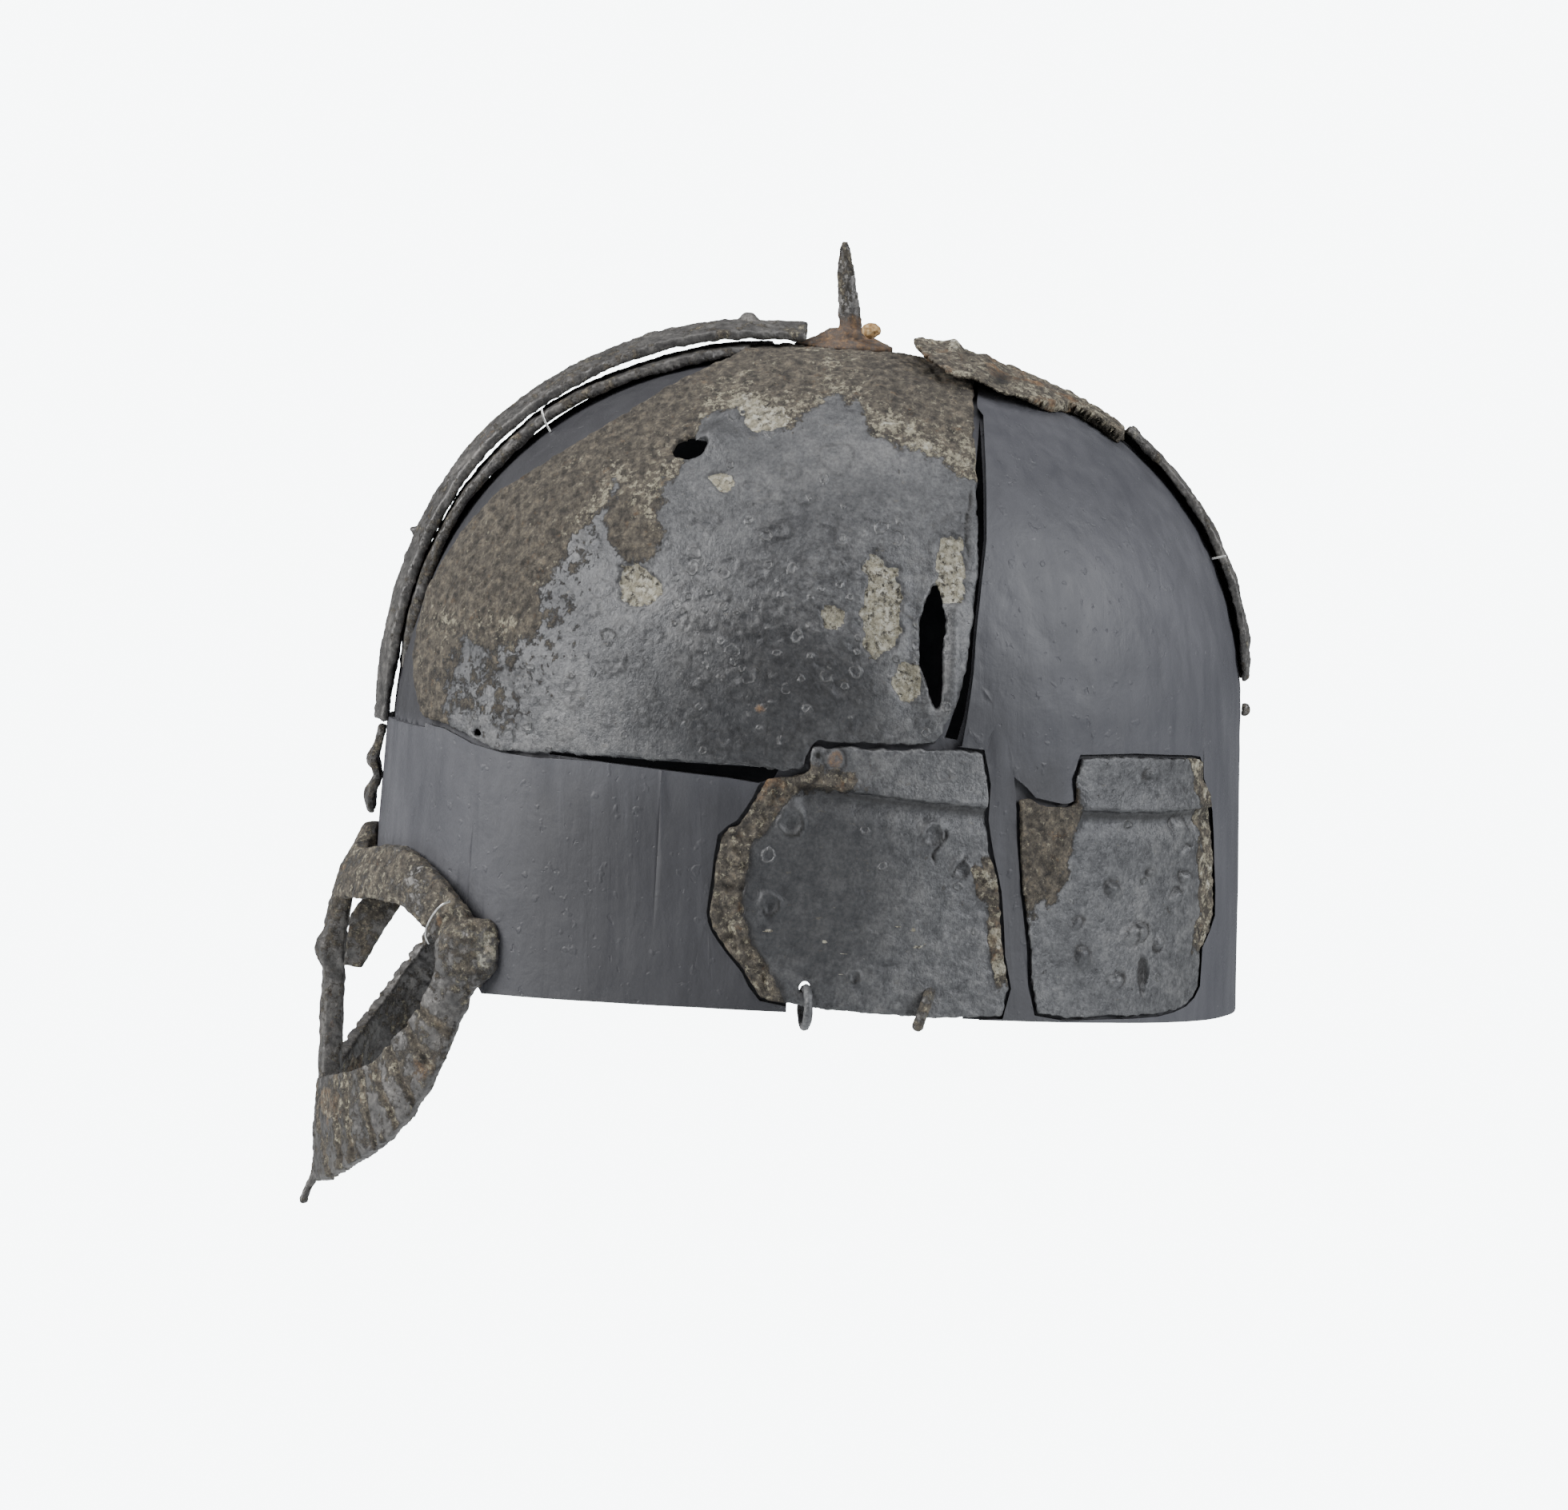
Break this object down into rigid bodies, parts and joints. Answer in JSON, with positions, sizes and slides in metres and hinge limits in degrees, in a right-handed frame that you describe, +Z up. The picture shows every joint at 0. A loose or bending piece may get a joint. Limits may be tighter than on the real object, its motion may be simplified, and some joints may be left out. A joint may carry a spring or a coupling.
{
  "type": "norse iron helmet",
  "caption": "Excavated spectacle helmet: corroded iron plates, crest strips and eye guard fixed on a light moulded skull-shaped support, hollow for a head.",
  "frame": {"origin": "middle of the head opening, in the plane of the rim", "axes": "+Z up through the crown, -Y towards the face, +X towards the wearer's left side"},
  "size_m": [0.1907, 0.2322, 0.2472],
  "materials": {
    "support_resin": "satin blue-grey paint over moulded resin, brushed lengthways",
    "plate_iron": "consolidated blue-grey iron with ring-shaped blisters, pits and brown crust",
    "rusted_iron": "rough brown-grey corroded iron with ochre patches",
    "packing": "dry ochre lump",
    "tie_wire": "bright thin wire"
  },
  "bodies": {
    "root": {"support_shell": "support_resin", "crown_plate": "plate_iron", "side_band_plate": "plate_iron", "rear_band_plate": "plate_iron", "crest_strip_outer": "rusted_iron", "crest_strip_inner": "rusted_iron", "nose_strip": "rusted_iron", "rear_crown_fragment": "rusted_iron", "rear_strip": "rusted_iron", "rear_rivet": "rusted_iron", "spike": "rusted_iron", "packing_lump": "packing", "nasal_bar": "rusted_iron", "brow_rim_left": "rusted_iron", "lower_rim_left": "rusted_iron", "brow_rim_right": "rusted_iron", "lower_rim_right": "rusted_iron", "brow_lug": "rusted_iron", "tie_wire_front": "tie_wire", "tie_wire_rear": "tie_wire", "tie_wire_temple": "tie_wire", "mail_ring": "plate_iron", "mail_ring_broken": "rusted_iron"}
  },
  "joints": []
}
